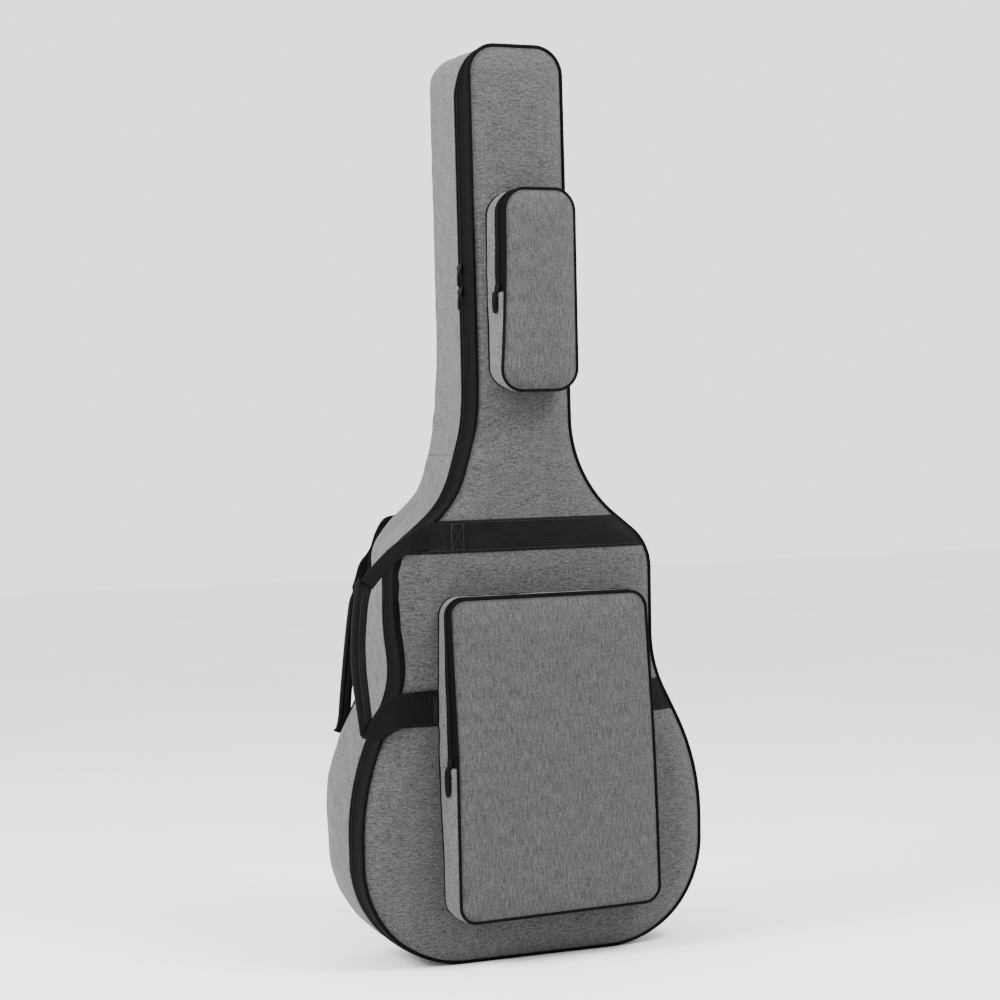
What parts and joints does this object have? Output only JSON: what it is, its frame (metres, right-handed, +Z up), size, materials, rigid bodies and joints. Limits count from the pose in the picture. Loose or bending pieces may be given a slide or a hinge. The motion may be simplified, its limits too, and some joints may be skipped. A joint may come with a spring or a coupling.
{
  "type": "padded guitar gig bag",
  "caption": "Padded soft gig bag for a guitar: zipped front that opens like a door, two zipped front pockets, webbing carry handles and shoulder straps.",
  "frame": {"origin": "centre of the outline's base edge, at half the depth between the front and back rims, on the surface the bag stands on", "axes": "+Z up along the bag towards the head, -Y out of the front, +X towards the side that carries the fabric hinge"},
  "size_m": [0.4472, 0.2105, 1.08],
  "materials": {
    "heather_fabric": "matte heather woven polyester",
    "pocket_fabric": "matte fine streaked melange polyester",
    "foam": "matte closed-cell foam",
    "lining": "matte black nylon lining",
    "zip_tape": "matte black woven tape",
    "zip_coil": "satin black nylon coil",
    "piping": "black corded binding",
    "webbing": "matte black ribbed webbing",
    "strap_mesh": "black air-mesh and nylon over foam",
    "slider_metal": "black lacquered zinc",
    "pull_plastic": "moulded black plastic"
  },
  "bodies": {
    "shell": {"back_cover": "heather_fabric", "back_foam": "foam", "back_lining": "lining", "gusset_neck": "heather_fabric", "gusset_left": "heather_fabric", "gusset_right": "heather_fabric", "gusset_base": "heather_fabric", "gusset_foam": "foam", "gusset_lining": "lining", "shell_zip_coil": "zip_coil", "shell_zip_tape": "zip_tape", "hinge_strip": "heather_fabric", "back_webbing_upper": "webbing", "back_webbing_lower": "webbing", "strap_yoke": "webbing", "strap_pad_left": "strap_mesh", "strap_pad_right": "strap_mesh", "strap_webbing_left": "webbing", "strap_webbing_right": "webbing", "strap_anchor_left": "webbing", "strap_anchor_right": "webbing"},
    "lid": {"front_cover": "heather_fabric", "front_foam": "foam", "front_lining": "lining", "lid_facing": "zip_tape", "lid_zip_tape": "zip_tape", "lid_zip_coil": "zip_coil", "lid_edge_lining": "lining", "front_piping": "piping", "webbing_upper": "webbing", "webbing_lower": "webbing", "body_pocket_gusset": "heather_fabric", "body_pocket_zip_base": "zip_tape", "body_pocket_face": "pocket_fabric", "body_pocket_piping_face": "piping", "neck_pocket_gusset": "heather_fabric", "neck_pocket_zip_base": "zip_tape", "neck_pocket_face": "pocket_fabric", "neck_pocket_piping_face": "piping"},
    "front_handle": {"front_handle": "webbing"},
    "rear_handle": {"rear_handle": "webbing"},
    "body_pocket_flap": {"body_pocket_flap": "pocket_fabric", "body_pocket_zip_flap": "zip_tape", "body_pocket_piping_flap": "piping"},
    "neck_pocket_flap": {"neck_pocket_flap": "pocket_fabric", "neck_pocket_zip_flap": "zip_tape", "neck_pocket_piping_flap": "piping"},
    "main_slider_upper": {"main_slider_upper": "slider_metal"},
    "main_pull_upper": {"main_pull_upper": "slider_metal"},
    "main_slider_lower": {"main_slider_lower": "slider_metal"},
    "main_pull_lower": {"main_pull_lower": "slider_metal"},
    "body_pocket_slider": {"body_pocket_slider": "slider_metal"},
    "body_pocket_pull": {"body_pocket_pull": "pull_plastic"},
    "neck_pocket_slider": {"neck_pocket_slider": "slider_metal"},
    "neck_pocket_pull": {"neck_pocket_pull": "pull_plastic"},
    "strap_adjuster_left": {"strap_adjuster_left": "pull_plastic"},
    "strap_adjuster_right": {"strap_adjuster_right": "pull_plastic"}
  },
  "joints": [
    {"name": "lid_hinge", "type": "hinge", "parent": "shell", "child": "lid", "pos_m": [0.2185, -0.029, 0.16], "axis": [0, 0, 1], "range_deg": [0, 115]},
    {"name": "front_handle_swing", "type": "hinge", "parent": "lid", "child": "front_handle", "pos_m": [-0.156, -0.08, 0.402], "axis": [0, 0, 1], "range_deg": [0, 108]},
    {"name": "rear_handle_swing", "type": "hinge", "parent": "shell", "child": "rear_handle", "pos_m": [-0.156, 0.076, 0.402], "axis": [0, 0, -1], "range_deg": [0, 108]},
    {"name": "body_pocket_flap_fold", "type": "hinge", "parent": "lid", "child": "body_pocket_flap", "pos_m": [-0.126, -0.1235, 0.264], "axis": [0.8336, 0, 0.5524], "range_deg": [0, 100]},
    {"name": "neck_pocket_flap_fold", "type": "hinge", "parent": "lid", "child": "neck_pocket_flap", "pos_m": [-0.0465, -0.1185, 0.812], "axis": [0.7148, 0, 0.6994], "range_deg": [0, 100]},
    {"name": "main_zip_upper", "type": "slide", "parent": "shell", "child": "main_slider_upper", "axis": [0, 0, 1], "range_m": [0, 0.215]},
    {"name": "main_zip_lower", "type": "slide", "parent": "shell", "child": "main_slider_lower", "axis": [0, 0, -1], "range_m": [0, 0.14]},
    {"name": "main_pull_upper_swing", "type": "hinge", "parent": "main_slider_upper", "child": "main_pull_upper", "pos_m": [-0.0638, -0.029, 0.818], "axis": [0, 1, 0], "range_deg": [0, 150]},
    {"name": "main_pull_lower_swing", "type": "hinge", "parent": "main_slider_lower", "child": "main_pull_lower", "pos_m": [-0.0638, -0.029, 0.79], "axis": [0, 1, 0], "range_deg": [0, 150]},
    {"name": "body_pocket_zip", "type": "slide", "parent": "lid", "child": "body_pocket_slider", "axis": [0, 0, 1], "range_m": [0, 0.165]},
    {"name": "body_pocket_pull_swing", "type": "hinge", "parent": "body_pocket_slider", "child": "body_pocket_pull", "pos_m": [-0.1288, -0.103, 0.24], "axis": [0, 1, 0], "range_deg": [0, 150]},
    {"name": "neck_pocket_zip", "type": "slide", "parent": "lid", "child": "neck_pocket_slider", "axis": [0, 0, 1], "range_m": [0, 0.08]},
    {"name": "neck_pocket_pull_swing", "type": "hinge", "parent": "neck_pocket_slider", "child": "neck_pocket_pull", "pos_m": [-0.0493, -0.098, 0.79], "axis": [0, 1, 0], "range_deg": [0, 150]},
    {"name": "strap_adjuster_left_slide", "type": "slide", "parent": "shell", "child": "strap_adjuster_left", "axis": [-0.252, 0, -0.9677], "range_m": [0, 0.085]},
    {"name": "strap_adjuster_right_slide", "type": "slide", "parent": "shell", "child": "strap_adjuster_right", "axis": [0.252, 0, -0.9677], "range_m": [0, 0.085]}
  ]
}
